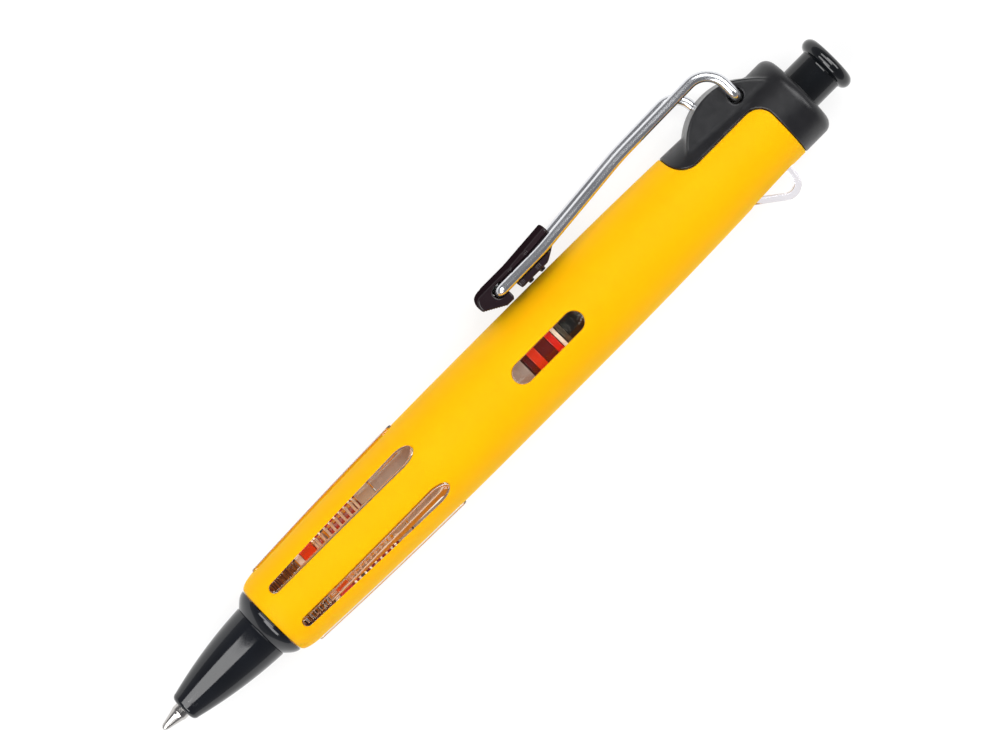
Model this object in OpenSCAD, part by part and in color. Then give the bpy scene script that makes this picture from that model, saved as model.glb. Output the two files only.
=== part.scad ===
// Pressurised retractable ballpoint pen, drawn in the writing position.
// It lies on its side: +X runs along the pen's axis from the writing point at the origin to the
// push knob, +Y points to the wire clip, and +Z is up. Every station is a distance in mm along X.

/* [Body] */
// Largest radius of the grip sleeve, at mid length
body_r = 7.12; // [7.05:0.01:7.3]
// Radius of the rear cap
cap_r = 6.37; // [6.3:0.01:6.4]
// Station of the grip sleeve's front end
sleeve_x0 = 20.6; // [20.55:0.05:20.7]
// Station of the rear cap's end face
cap_x1 = 119.8; // [119.6:0.1:120.2]
// How far the clear ribs stand above the grip sleeve
rib_proud = 0.25; // [0.05:0.05:0.3]
// Number of clear ribs round the grip
rib_count = 6; // [4, 6]

/* [Windows] */
// Stations of the grip slots' ends
slot_x = [23.2, 50.0];
// Half width of a grip slot at its narrow front end
slot_front = 0.82; // [0.7:0.02:0.9]
// Half width of a grip slot at its wide rear end
slot_rear = 1.3; // [1.2:0.02:1.4]
// Stations of the oval side windows' ends
window_x = [65.7, 78.2];
// Half width of an oval side window
window_w = 1.55; // [1.4:0.05:1.7]

/* [Rear cap] */
// Station of the edge between the sleeve and the cap's full ring
cap_x0 = 114.65; // [114.5:0.05:114.8]
// Station of the front end of the cap's tongue
tongue_x0 = 100.1; // [99.8:0.1:100.4]
// Height of the tongue's lower edge above the pen's axis
tongue_y = 3.2; // [3.0:0.1:3.4]
// Radius of the clip block's round back
block_r = 8.8; // [8.7:0.05:8.9]
// Half width of the clip block
block_w = 4.7; // [4.6:0.05:4.8]

/* [Clip] */
// Diameter of the clip wire
wire_d = 1.5; // [1.4:0.05:1.5]
// Distance of each wire leg from the pen's middle plane
wire_z = 5.58; // [5.56:0.01:5.65]
// Station where the near leg enters the cap
near_leg_x = 113.0; // [112.9:0.05:113.1]
// Station where the far leg enters the cap
far_leg_x = 108.4; // [108.3:0.05:108.5]
// Height of both wire ends above the pen's axis
wire_end_y = 5.8; // [5.75:0.01:5.85]
// Half width of the clip's foot
foot_w = 5.9; // [5.7:0.1:6.0]

/* [Knob] */
// Radius of the knob's stem
knob_r = 3.2; // [3.1:0.01:3.22]
// Radius of the knob's rim
rim_r = 4.15; // [4.0:0.01:4.2]
// Station of the knob's flat top in the writing position
knob_x1 = 125.85; // [125.75:0.05:126.0]

/* [Refill] */
// Radius of the writing ball
ball_r = 0.35; // [0.25:0.05:0.35]
// Radius of the ink tube
tube_r = 1.55; // [1.5:0.01:1.6]
// Station of the ink tube's tail
tube_x1 = 56.0; // [54:0.5:57]

/* [Hidden] */

$fn = 96;
fit = 0.05;             // radial clearance between fixed parts
seam = 0.08;            // visible joint between the sleeve and its neighbours
bore_r = 3.95;          // bore of the clear barrel round the refill and the pump
rear_bore_r = 4.45;     // wider bore behind the spring stop
rear_bore_x0 = 85.0;    // step between the two bores
wall = 1.25;            // thickness of the grip sleeve
barrel_min_r = 4.95;    // thinnest outside radius of the clear barrel
barrel_x1 = 117.0;      // rear end of the clear barrel
far = 30;               // reach of cutting solids

loop_apex = [109.6, -7.4];      // centre of the lanyard loop's round tip
loop_apex_r = 2.18;             // its outside radius
clip_top_y = 12.07;             // highest point of the clip
pad_proud = 0.06;               // how far the window pads stand above the sleeve

// ---------------------------------------------------------------- helpers

// Moves the pen so that the middle of its underside is the origin.
module in_frame() {
    mid_y = (clip_top_y + loop_apex[1] - loop_apex_r) / 2;
    translate([-knob_x1 / 2, -mid_y, body_r + pad_proud]) children();
}

// Turns a 2D outline of (radius, station) points about the pen's axis.
module lathe() {
    rotate([0, 90, 0]) rotate_extrude() children();
}

// Round bar along the pen's axis.
module rod(x0, x1, r) {
    translate([x0, 0, 0]) rotate([0, 90, 0]) cylinder(h = x1 - x0, r = r);
}

// Round tube along the pen's axis.
module tube(x0, x1, r_in, r_out) {
    difference() {
        rod(x0, x1, r_out);
        rod(x0 - 1, x1 + 1, r_in);
    }
}

// Sweeps a round section of radius r along a list of points. The up vector is never along the path.
function unit(v) = v / norm(v);
function tangent(p, i) = unit(p[min(i + 1, len(p) - 1)] - p[max(i - 1, 0)]);
function ring_points(p, i, r, sides, up) =
    let (t = tangent(p, i), n = unit(cross(t, up)), b = cross(t, n))
    [for (k = [0:sides - 1]) p[i] + r * (cos(360 * k / sides) * n + sin(360 * k / sides) * b)];

module sweep(path, r, sides, up) {
    n = len(path);
    points = [for (i = [0:n - 1]) each ring_points(path, i, r, sides, up)];
    sides_faces = [
        for (i = [0:n - 2], k = [0:sides - 1])
            let (a = i * sides + k, b = i * sides + (k + 1) % sides)
            each [[a, b, b + sides], [a, b + sides, a + sides]]
    ];
    front = [for (k = [sides - 1:-1:0]) k];
    back = [for (k = [0:sides - 1]) (n - 1) * sides + k];
    polyhedron(points, concat([front], sides_faces, [back]), convexity = 10);
}

// Points of a path through corners p, each corner rounded to its own radius. A radius of 0 marks an end.
function corner_arc(a, b, c, r) =
    let (
        u = unit(a - b), v = unit(c - b),
        half = acos(u * v) / 2,
        reach = r / tan(half),
        centre = b + unit(u + v) * r / sin(half),
        s = b + u * reach - centre, e = b + v * reach - centre,
        turn = 180 - 2 * half,
        steps = max(3, round(turn / 11))
    )
    [for (k = [0:steps]) centre + (sin(turn * (1 - k / steps)) * s + sin(turn * k / steps) * e) / sin(turn)];
function rounded_path(p, radii) = [
    for (i = [0:len(p) - 1])
        each radii[i] == 0 ? [p[i]] : corner_arc(p[i - 1], p[i], p[i + 1], radii[i])
];

// Compression spring between two stations.
module coil_spring(x0, x1, r_mean, r_wire, turns) {
    steps = round(turns * 16);
    sweep(
        [for (i = [0:steps])
            let (a = 360 * turns * i / steps)
            [x0 + r_wire + (x1 - x0 - 2 * r_wire) * i / steps, r_mean * cos(a), r_mean * sin(a)]],
        r_wire, 8, [1, 0, 0]
    );
}

// ---------------------------------------------------------------- body shape

// Outside radius of the pen's body at a station: a round front edge, a long swell, and a long taper.
front_x = 24;           // end of the round front edge
swell_x = 60;           // start of the straight middle
taper_x = 75;           // end of the straight middle
swell = 0.87;           // how much thinner the grip is at its front
taper = 0.85;           // how much thinner the body is at its rear
edge_r = 5.45;          // radius of the sleeve's front edge
function swell_r(x) = body_r - swell * pow((swell_x - x) / 37, 2);
function taper_r(x) = body_r - taper * pow((x - taper_x) / 39, 2);
function outer_r(x) =
    x < front_x ? edge_r + (swell_r(front_x) - edge_r) * sin(90 * pow((x - sleeve_x0) / (front_x - sleeve_x0), 0.62))
    : x < swell_x ? swell_r(x)
    : x < taper_x ? body_r
    : max(cap_r, taper_r(x));
function barrel_r(x) = max(barrel_min_r, outer_r(x) - wall);

// Stations at which the curved outline is drawn.
body_stations = concat(
    [for (x = [sleeve_x0:0.425:front_x - 0.1]) x],
    [for (x = [front_x:4:swell_x]) x],
    [for (x = [taper_x:3:117]) x]
);
function between(x0, x1) = concat([x0], [for (x = body_stations) if (x > x0 + 0.05 && x < x1 - 0.05) x], [x1]);

// Solid of revolution between two stations, inside the body's outline shifted by grow.
module body_solid(x0, x1, grow) {
    xs = between(x0, x1);
    lathe() polygon(concat([[0, x0]], [for (x = xs) [outer_r(x) + grow, x]], [[0, x1]]));
}
module barrel_solid(x0, x1, grow) {
    xs = between(x0, x1);
    lathe() polygon(concat([[0, x0]], [for (x = xs) [barrel_r(x) + grow, x]], [[0, x1]]));
}

// Outline of a grip slot: narrow and round in front, wide and elliptical behind.
slot_stretch = 1.9;     // length of the elliptical rear end over its half width
module slot_outline(grow) {
    front = slot_front + grow;
    rear = slot_rear + grow;
    front_c = slot_x[0] + slot_front;
    rear_c = slot_x[1] - slot_stretch * slot_rear;
    polygon(concat(
        [for (a = [90:15:270]) [front_c + front * cos(a), front * sin(a)]],
        [for (a = [-90:10:90]) [rear_c + (slot_stretch * rear) * cos(a), rear * sin(a)]]
    ));
}

// Radial bars with a slot's outline, one under the clip and the others evenly round the pen.
module slot_bars(grow) {
    for (i = [0:rib_count - 1])
        rotate([30 + i * 360 / rib_count, 0, 0])
            translate([0, 0, barrel_min_r - 0.4])
                linear_extrude(body_r) slot_outline(grow);
}

// Bars with the outline of the oval side windows.
module window_bars(grow) {
    w = window_w + grow;
    for (side = [0, 180])
        rotate([side, 0, 0])
            translate([0, 0, barrel_min_r])
                linear_extrude(body_r) {
                    for (x = [window_x[0] + window_w, window_x[1] - window_w]) translate([x, 0]) circle(w);
                    translate([window_x[0] + window_w, -w]) square([window_x[1] - window_x[0] - 2 * window_w, 2 * w]);
                }
}

// ---------------------------------------------------------------- lanyard loop

loop_w = 1.2;           // half width of the loop
loop_t = 1.0;           // thickness of the loop's band
loop_foot_front = 104.5;
loop_foot_rear = 111.9;
module loop_outline(shrink) {
    hull() {
        translate(loop_apex) circle(loop_apex_r - shrink, $fn = 32);
        translate([loop_foot_front + 1.5 * shrink, -6.3 + 0.3 * shrink]) square([0.2, 0.2]);
        translate([loop_foot_rear - 0.2 - shrink, -6.3 + 0.3 * shrink]) square([0.2, 0.2]);
    }
}
module lanyard_loop() {
    color([0.92, 0.93, 0.92, 0.4]) in_frame() difference() {
        translate([0, 0, -loop_w]) linear_extrude(2 * loop_w) {
            difference() {
                loop_outline(0);
                loop_outline(loop_t);
            }
            for (x = [loop_foot_front + 0.1, loop_foot_rear - loop_t - 0.1])
                translate([x, -6.3]) square([loop_t, 1.4]);
        }
        barrel_solid(loop_foot_front - 1, loop_foot_rear + 1, 0.02);
    }
}

// ---------------------------------------------------------------- fixed parts

module inner_barrel() {
    color([0.92, 0.93, 0.92, 0.4]) in_frame() difference() {
        union() {
            barrel_solid(sleeve_x0 + 0.15, barrel_x1, 0);
            intersection() {
                slot_bars(-fit);
                body_solid(sleeve_x0 + 1, 60, rib_proud);
            }
            intersection() {
                window_bars(-fit);
                body_solid(60, 90, pad_proud);
            }
        }
        rod(sleeve_x0 - 1, barrel_x1 + 1, bore_r);
        rod(rear_bore_x0, barrel_x1 + 1, rear_bore_r);
    }
}

// Side view of the cap: a full ring behind, and a tongue over the clip side in front.
tongue_corner = 3.0;
ring_corner = 2.5;
module cap_side(gap) {
    x0 = tongue_x0 - gap;
    x1 = cap_x0 - gap;
    y0 = tongue_y - gap;
    convex = tongue_corner + gap;
    concave = ring_corner - gap;
    translate([x1, -10]) square([10, 25]);
    translate([x0 + convex, y0]) square([x1 - x0, 12]);
    translate([x0, y0 + convex]) square([convex + 1, 9]);
    translate([x0 + convex, y0 + convex]) circle(convex);
    difference() {
        translate([x1 - concave, y0 - concave]) square(concave + 0.5);
        translate([x1 - concave, y0 - concave]) circle(concave);
    }
}
module cap_bars(gap) {
    translate([0, 0, -far / 2]) linear_extrude(far) cap_side(gap);
}

module grip_sleeve() {
    loop_gap = 0.2;
    color("gold") in_frame() difference() {
        body_solid(sleeve_x0, cap_x0 + 1, 0);
        barrel_solid(sleeve_x0 - 0.1, cap_x0 + 2, fit);
        slot_bars(0);
        window_bars(0);
        cap_bars(seam);
        translate([loop_foot_front - loop_gap, -far / 2, -loop_w - loop_gap])
            cube([loop_foot_rear - loop_foot_front + 2 * loop_gap, far / 2, 2 * (loop_w + loop_gap)]);
    }
}

cap_wall_x0 = 117.2;    // inner face of the cap's end wall
cap_edge = 1.6;         // radius of the cap's rear edge
knob_hole_r = knob_r + 0.1;
block_x = 110.1;        // station of the clip block's centre
block_y = -0.25;
wire_hole_r = 1.06;
wire_hole_z = 3.35;     // bottom of the blind wire holes
module cap_shell() {
    xs = between(tongue_x0 - 1, cap_x1 - cap_edge);
    lathe() polygon(concat(
        [for (x = xs) [outer_r(x), x]],
        [for (a = [15:15:90]) [cap_r - cap_edge + cap_edge * cos(a), cap_x1 - cap_edge + cap_edge * sin(a)]],
        [[0, cap_x1], [0, tongue_x0 - 1]]
    ));
}
module rear_cap() {
    color([0.13, 0.13, 0.14]) in_frame() difference() {
        union() {
            intersection() {
                cap_shell();
                cap_bars(0);
            }
            intersection() {
                translate([block_x, block_y, -block_w]) cylinder(h = 2 * block_w, r = block_r);
                translate([tongue_x0, tongue_y + 0.4, -far / 2]) cube([cap_x1 - tongue_x0 - 2, far, far]);
            }
        }
        barrel_solid(tongue_x0 - 2, cap_wall_x0, fit);
        rod(cap_wall_x0 - 1, cap_x1 + 1, knob_hole_r);
        translate([near_leg_x, wire_end_y, wire_hole_z]) cylinder(h = 5, r = wire_hole_r);
        translate([far_leg_x, wire_end_y, -wire_hole_z - 5]) cylinder(h = 5, r = wire_hole_r);
    }
}

guide_x = [98.6, 116.9];
guide_splines = 8;
module cam_guide() {
    color("whitesmoke") in_frame() {
        tube(guide_x[0], guide_x[1], 3.98, rear_bore_r - fit);
        for (i = [0:guide_splines - 1])
            intersection() {
                tube(105.6, 113, 3.56, 4.1);
                rotate([i * 360 / guide_splines, 0, 0])
                    translate([105.6, -0.4, 3]) cube([7.4, 0.8, 2]);
            }
    }
}

module spring_stop() {
    color("dimgray") in_frame() {
        tube(rear_bore_x0, 87, 3.15, rear_bore_r - fit);
        tube(84.4, rear_bore_x0, 3.15, bore_r - fit);
    }
}

module return_spring() {
    color("silver") in_frame() coil_spring(31.6, 39.8, 3.55, 0.2, 9);
}
module plunger_spring() {
    color("silver") in_frame() coil_spring(87.1, 97.2, 3.6, 0.25, 8);
}

// ---------------------------------------------------------------- clip

clip_y = [9.6, 9.66, 11.1, 11.38];   // wire heights at the foot, at both bends and above the block
clip_x = [72.6, 80.5, 96.5];         // stations of the U end and of both bends
function leg(x_end, z) = [
    [x_end, wire_end_y, z * (1 - 1.85 / wire_z)],
    [x_end, wire_end_y, z],
    [x_end, clip_y[3], z],
    [clip_x[2], clip_y[2], z],
    [clip_x[1], clip_y[1], z],
    [clip_x[0], clip_y[0], z]
];
function reversed(p) = [for (i = [len(p) - 1:-1:0]) p[i]];
near_radii = [0, 1.0, 3.3, 40, 30, 0.9];     // bend radii of the near leg, from its end to the foot
far_radii = [0, 1.0, 2.9, 40, 30, 0.9];      // the same of the far leg
module clip_wire() {
    color("silver") in_frame() sweep(
        rounded_path(
            concat(leg(near_leg_x, wire_z), reversed(leg(far_leg_x, -wire_z))),
            concat(near_radii, reversed(far_radii))
        ),
        wire_d / 2, 16, [1, 1, 1]
    );
}

foot_top_y = 11.45;     // middle of the foot's top over its nose
foot_rear_y = 11.95;    // the same at its rear end
foot_crown = 0.45;      // how much lower the top is at its sides
foot_nose = 1.85;       // radius of its nose
foot_low_y = 7.85;      // underside of its inner plate
foot_touch_y = 7.3;     // underside of the pads
foot_x = [69.15, 82.8];
foot_slope_x = 75.5;    // station from which the top rises
groove = [8.83, 10.38]; // heights between which the wire lies
module foot_side() {
    difference() {
        union() {
            translate([foot_x[0] + foot_nose, foot_top_y - foot_nose]) circle(foot_nose);
            polygon([
                [foot_x[0] + foot_nose, foot_top_y], [foot_slope_x, foot_top_y], [82.4, foot_rear_y],
                [foot_x[1], foot_rear_y - 0.4], [foot_x[1], 10.4], [82.1, 9.1], [80.2, 8.0],
                [79.8, foot_low_y], [73.6, foot_low_y], [73.3, 7.58], [72.1, 7.58], [70.0, 9.0]
            ]);
        }
        // slanted front below the nose
        polygon([[68.0, 9.91], [72.1, 7.58], [72.1, 6], [68.0, 6]]);
    }
}

// Wire groove, opened upwards behind, and the notch in front of the inner plate.
module foot_cuts() {
    groove_x0 = clip_x[0] - wire_d / 2 - 0.1;
    polygon([
        [groove_x0, groove[0]], [90, groove[0]], [90, groove[1] + 1.0], [79.5, groove[1]], [groove_x0, groove[1]]
    ]);
    translate([73.6, 6]) square([1.55, 3.5]);
}

// Space above a crowned top that starts at the origin and runs along +X.
module above_crown(length) {
    reach = foot_w + 0.6;
    rotate([90, 0, 90]) linear_extrude(length) polygon(concat(
        [for (k = [-6:6]) let (z = k * reach / 6) [-foot_crown * pow(z / foot_w, 2), z]],
        [[2, reach], [2, -reach]]
    ));
}

// The foot's plate, made wider by grow on both sides.
module foot_plate(grow) {
    rise = atan((foot_rear_y - foot_top_y) / (82.4 - foot_slope_x));
    difference() {
        translate([0, 0, -foot_w - grow]) linear_extrude(2 * (foot_w + grow))
            foot_side();
        translate([foot_x[0] - 1, foot_top_y, 0]) above_crown(foot_slope_x - foot_x[0] + 1);
        translate([foot_slope_x, foot_top_y, 0]) rotate([0, 0, rise]) above_crown(9);
        translate([0, 0, -foot_w - 1]) linear_extrude(2 * foot_w + 2) foot_cuts();
    }
}
module clip_foot() {
    color([0.2, 0.14, 0.18]) in_frame() {
        foot_plate(0);
        // web between the wire's legs
        translate([75.15, groove[0] - 0.2, -4.4]) cube([6.0, groove[1] - groove[0] + 0.4, 8.8]);
        // raised panels on the foot's sides, with a rib at each end: station, length, height
        for (band = [[75.45, 3.4, 0.07], [75.45, 0.5, 0.2], [78.35, 0.5, 0.2]])
            intersection() {
                foot_plate(band[2]);
                translate([band[0], 7.8, -far / 2]) cube([band[1], 6, far]);
            }
        // pads that rest on the sleeve
        for (x = [76.35, 78.45])
            translate([x, foot_touch_y, -1.5]) cube([0.8, 0.8, 3]);
    }
}

// ---------------------------------------------------------------- knob, plunger and latch

rim_t = 1.05;           // radius of the rim's round edge
knob_foot_x = 104.2;    // tip of the knob's teeth
module crown(x0, x1, r_in, r_out, teeth) {
    // ring of square-cut teeth on a tube's end
    intersection() {
        tube(x0, x1, r_in, r_out);
        for (i = [0:teeth / 2 - 1])
            rotate([i * 360 / teeth, 0, 0])
                translate([x0, -0.55, -far / 2]) cube([x1 - x0, 1.1, far]);
    }
}
module push_knob() {
    color([0.1, 0.1, 0.11]) in_frame() {
        difference() {
            lathe() polygon(concat(
                [[0, 105], [knob_r, 105], [knob_r, 108.5], [3.48, 108.5], [3.48, 110], [knob_r, 110]],
                [for (a = [-90:15:90]) [rim_r - rim_t + rim_t * cos(a), knob_x1 - rim_t + rim_t * sin(a)]],
                [[0, knob_x1]]
            ));
            rod(104, 122, 2.2);
        }
        crown(knob_foot_x, 105.1, 2.2, knob_r, 8);
    }
}

module plunger_rod() {
    color([0.12, 0.12, 0.12]) in_frame() {
        rod(70.7, 74.4, 2.0);
        rod(74.3, 75.2, 3.4);
        rod(75.2, 77.1, bore_r - 0.1);
        rod(77.1, 97.3, 3.0);
        rod(97.3, 98.1, 3.9);
        rod(98.1, 101.2, 1.5);
    }
}

module piston() {
    color("firebrick") in_frame() difference() {
        union() {
            rod(62.5, 69.2, chamber_r - 0.25);
            rod(68.3, 73.6, 3.3);
            rod(69.2, 70.6, bore_r - 0.1);
            rod(72.8, 73.6, bore_r - 0.1);
        }
        rod(70.5, 74, 2.0 + fit);
        for (x = o_ring_x) tube(x - o_ring_r - fit, x + o_ring_r + fit, chamber_r - 0.85, 3.5);
    }
}
o_ring_x = [63.9, 66.3];
o_ring_r = 0.4;
module piston_o_rings() {
    color("black") in_frame() for (x = o_ring_x)
        lathe() translate([chamber_r - 0.02 - o_ring_r, x]) circle(o_ring_r, $fn = 32);
}
module packing_ring() {
    color("white") in_frame() tube(73.65, 74.25, 2.0 + fit, bore_r - 0.1);
}

rotor_x = [98.3, 103.2];
module cam_rotor() {
    color("ivory") in_frame() {
        difference() {
            union() {
                rod(rotor_x[0], rotor_x[1], 3.1);
                for (i = [0:3])
                    rotate([i * 90, 0, 0]) translate([rotor_x[0], -0.5, 0]) cube([4.7, 1.0, 3.42]);
            }
            rod(rotor_x[0] - 1, 101.6, 1.5 + fit);
        }
        crown(rotor_x[1] - 0.1, 103.95, 2.2, 3.1, 8);
    }
}

// ---------------------------------------------------------------- refill and pressure cylinder

chamber_r = 2.9;        // bore in which the piston slides
cylinder_r = 3.75;
module pressure_cylinder() {
    color("darkgray") in_frame() difference() {
        rod(42.6, 68.1, cylinder_r);
        rod(42, 69, tube_r + 0.15);
        rod(42, 44.8, 2.5);
        rod(50, 54.1, 2.65);
        rod(54, 69, chamber_r);
    }
}
module cylinder_cap() {
    color("gray") in_frame() {
        tube(39.9, 42.4, tube_r + 0.15, cylinder_r);
        tube(42.4, 44.6, tube_r + 0.15, 2.5 - fit);
    }
}
module refill_collar() {
    color([0.35, 0.03, 0.03]) in_frame() tube(34.3, 39.85, tube_r + 0.1, 3.25);
}
module refill_seal() {
    color("black") in_frame() tube(50.1, 54, tube_r + 0.03, 2.6);
}
module refill_tube() {
    color([0.8, 0.8, 0.82, 0.6]) in_frame() tube(10.5, tube_x1, 1.1, tube_r);
}
module refill_tip() {
    socket = ball_r + 0.015;
    mouth_x = 0.28;     // rim of the socket
    mouth_a = acos((ball_r - mouth_x) / socket);
    color("lightgray") in_frame() lathe() polygon(concat(
        [
            [0.42, mouth_x], [0.5, 0.6], [1.0, 2.6], [1.15, 3.0], [1.15, 9.4], [tube_r, 9.5],
            [tube_r, 10.45], [1.08, 10.45], [1.08, 12.5], [0.5, 12.5], [0.5, 6], [0.2, 6]
        ],
        [for (k = [0:8]) let (a = mouth_a + (145 - mouth_a) * (1 - k / 8)) [socket * sin(a), ball_r - socket * cos(a)]]
    ));
}
module ink_column() {
    color([0.02, 0.02, 0.05]) in_frame() rod(12.6, 44, 1.08);
}
module ink_follower() {
    color([0.85, 0.8, 0.6]) in_frame() rod(44.05, 47, 1.08);
}
module writing_ball() {
    color("gray") in_frame() translate([ball_r, 0, 0]) sphere(ball_r, $fn = 48);
}

// ---------------------------------------------------------------- nose

module spring_guide() {
    color("red") in_frame() difference() {
        union() {
            rod(29.45, 31.5, bore_r - 0.2);
            rod(31.5, 32.9, 3.2);
        }
        rod(29, 34, tube_r + 0.2);
    }
}
module guide_washer() {
    color("white") in_frame() tube(28.5, 29.4, tube_r + 0.2, bore_r - 0.35);
}

nose_x0 = 3.78;         // front end of the nose cone
groove_x = 18.4;        // foot of the flare
flare_x1 = 20.45;       // rear face of the flare
shank_x1 = 28.3;        // end of the threaded shank
thread_pitch = 0.8;
thread_r = [3.6, 3.85];
mouth_edge = 0.75;      // radius of the round edge at the mouth
function nose_r(x) = 4.24 - 0.046 * (18.2 - x) - 0.00753 * pow(18.2 - x, 2);
module nose_cone() {
    edge_x = nose_x0 + mouth_edge;
    edge_c = nose_r(edge_x) - mouth_edge;
    color([0.09, 0.1, 0.12]) in_frame() difference() {
        union() {
            lathe() polygon(concat(
                [[0, nose_x0]],
                [for (a = [90:-15:15]) [edge_c + mouth_edge * cos(a), edge_x - mouth_edge * sin(a)]],
                [for (x = [edge_x:0.865:18.5]) [nose_r(min(x, groove_x)), min(x, groove_x)]],
                [for (u = [0.08:0.115:1]) [4.2 + (edge_r - 4.2) * sin(90 * u), groove_x + u * (flare_x1 - groove_x)]],
                [[edge_r, flare_x1], [0, flare_x1]]
            ));
            rod(flare_x1 - 0.1, shank_x1, thread_r[0]);
            for (x = [flare_x1 + 2.2:thread_pitch:shank_x1 - 0.6])
                rod(x, x + thread_pitch * 0.55, thread_r[1]);
        }
        rod(nose_x0 - 1, shank_x1 + 1, 1.25);
        rod(5.2, shank_x1 + 1, tube_r + 0.25);
        rod(19, shank_x1 + 1, 2.8);
    }
}

inner_barrel();
lanyard_loop();
grip_sleeve();
rear_cap();
cam_guide();
spring_stop();
return_spring();
plunger_spring();
clip_wire();
clip_foot();
push_knob();
plunger_rod();
piston();
piston_o_rings();
packing_ring();
cam_rotor();
pressure_cylinder();
cylinder_cap();
refill_collar();
refill_seal();
refill_tube();
refill_tip();
ink_column();
ink_follower();
writing_ball();
spring_guide();
guide_washer();
nose_cone();
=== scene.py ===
"""Looks of a retractable pressurised ballpoint pen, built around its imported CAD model.

Shapes are drawn in the pen's own units: a station in mm along the pen's axis from the writing point,
a height in mm towards the clip, a depth in mm towards the upper window, and a radius in mm from the axis.
"""

import math

import bmesh
import bpy
import numpy as np
from mathutils import Matrix, Vector
from mathutils.geometry import delaunay_2d_cdt


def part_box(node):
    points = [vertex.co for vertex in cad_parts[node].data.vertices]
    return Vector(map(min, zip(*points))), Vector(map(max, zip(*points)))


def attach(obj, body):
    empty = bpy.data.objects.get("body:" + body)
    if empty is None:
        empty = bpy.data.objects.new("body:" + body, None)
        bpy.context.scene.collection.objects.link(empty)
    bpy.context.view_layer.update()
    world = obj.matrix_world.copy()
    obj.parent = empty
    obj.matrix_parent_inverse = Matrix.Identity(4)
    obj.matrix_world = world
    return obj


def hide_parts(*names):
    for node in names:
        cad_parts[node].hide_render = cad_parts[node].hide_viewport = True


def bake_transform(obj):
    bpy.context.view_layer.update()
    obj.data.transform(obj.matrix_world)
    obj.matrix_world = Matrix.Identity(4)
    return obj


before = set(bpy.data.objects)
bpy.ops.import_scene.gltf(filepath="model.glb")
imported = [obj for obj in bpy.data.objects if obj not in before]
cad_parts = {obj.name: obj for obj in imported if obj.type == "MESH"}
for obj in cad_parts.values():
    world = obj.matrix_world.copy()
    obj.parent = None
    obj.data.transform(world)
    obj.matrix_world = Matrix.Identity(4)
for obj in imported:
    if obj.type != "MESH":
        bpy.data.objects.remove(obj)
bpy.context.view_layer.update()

MM = 0.001
WELD = 2e-7
tip_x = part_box("writing_ball")[0].x
knob_low, knob_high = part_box("push_knob")
axis_y = (knob_low.y + knob_high.y) / 2
axis_z = (knob_low.z + knob_high.z) / 2


def place(station, height, depth):
    """A point of the pen in the row frame, in metres."""
    return Vector((tip_x + station * MM, axis_y + height * MM, axis_z + depth * MM))


def polar(station, radius, angle):
    """The same from a radius and an angle in degrees, counted from the upper window towards the clip."""
    turn = math.radians(angle)
    return place(station, radius * math.sin(turn), radius * math.cos(turn))


# ---------------------------------------------------------------- materials


def set_inputs(node, **values):
    for name, value in values.items():
        node.inputs[name.replace("_", " ")].default_value = value


def add_node(made, kind, **values):
    """A new node of a material or a world, with some of its inputs set."""
    node = made.node_tree.nodes.new("ShaderNode" + kind)
    set_inputs(node, **values)
    return node


def link(made, output, socket):
    made.node_tree.links.new(output, socket)


def new_material(name, color, **values):
    """A material with its shader; the caller adds the detail."""
    made = bpy.data.materials.new(name)
    made.use_nodes = True
    shader = made.node_tree.nodes["Principled BSDF"]
    set_inputs(shader, Base_Color=(*color, 1), **values)
    return made, shader


EVEN = (1, 1, 1)
ALONG = (0.06, 1, 1)
ROUND = (1, 0.04, 0.04)
NOISE_LOW, NOISE_HIGH = 0.35, 0.65


def noise(made, scale, detail, stretch):
    """Noise in the object's own metres, with features of about 1 / scale metres."""
    mapping = add_node(made, "Mapping", Scale=stretch)
    texture = add_node(made, "TexNoise", Scale=scale, Detail=detail)
    link(made, add_node(made, "TexCoord").outputs["Object"], mapping.inputs["Vector"])
    link(made, mapping.outputs["Vector"], texture.inputs["Vector"])
    return texture.outputs["Fac"]


def remap(made, value, low, high, from_low=NOISE_LOW, from_high=NOISE_HIGH):
    """Maps a value between from_low and from_high onto low to high."""
    node = add_node(made, "MapRange", From_Min=from_low, From_Max=from_high, To_Min=low, To_Max=high)
    link(made, value, node.inputs["Value"])
    return node.outputs["Result"]


def color_ramp(made, value, stops):
    """A colour read off along a value, from stops of (position, colour)."""
    node = add_node(made, "ValToRGB")
    elements = node.color_ramp.elements
    elements[0].position = stops[0][0]
    elements[1].position = stops[-1][0]
    for position, _ in stops[1:-1]:
        elements.new(position)
    for element, (_, color) in zip(elements, stops):
        element.color = (*color, 1)
    link(made, value, node.inputs["Fac"])
    return node.outputs["Color"]


def vary_roughness(made, shader, scale, low, high, stretch=EVEN):
    link(made, remap(made, noise(made, scale, 4, stretch), low, high), shader.inputs["Roughness"])


def vary_color(made, shader, scale, dark, light, stretch=EVEN):
    """Base colour between two close tones."""
    stops = [(NOISE_LOW, dark), (NOISE_HIGH, light)]
    link(made, color_ramp(made, noise(made, scale, 2, stretch), stops), shader.inputs["Base Color"])


def add_bump(made, shader, layers):
    """Layers of (scale, height in mm, stretch) of noise, added one on another."""
    previous = None
    for scale, height, stretch in layers:
        bump = add_node(made, "Bump", Strength=1, Distance=height * MM)
        link(made, noise(made, scale, 3, stretch), bump.inputs["Height"])
        if previous:
            link(made, previous.outputs["Normal"], bump.inputs["Normal"])
        previous = bump
    link(made, previous.outputs["Normal"], shader.inputs["Normal"])


def moulded(name, color, low, high, grain=0.004, tone=0.12, **values):
    """Opaque moulded plastic: fine grain, faint flow marks, and small changes of roughness and tone."""
    made, shader = new_material(name, color, **values)
    vary_color(made, shader, 180, [c * (1 - tone) for c in color], [c * (1 + tone) for c in color])
    vary_roughness(made, shader, 900, low, high)
    add_bump(made, shader, [(9000, grain, EVEN), (500, grain * 2, EVEN)])
    return made


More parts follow.
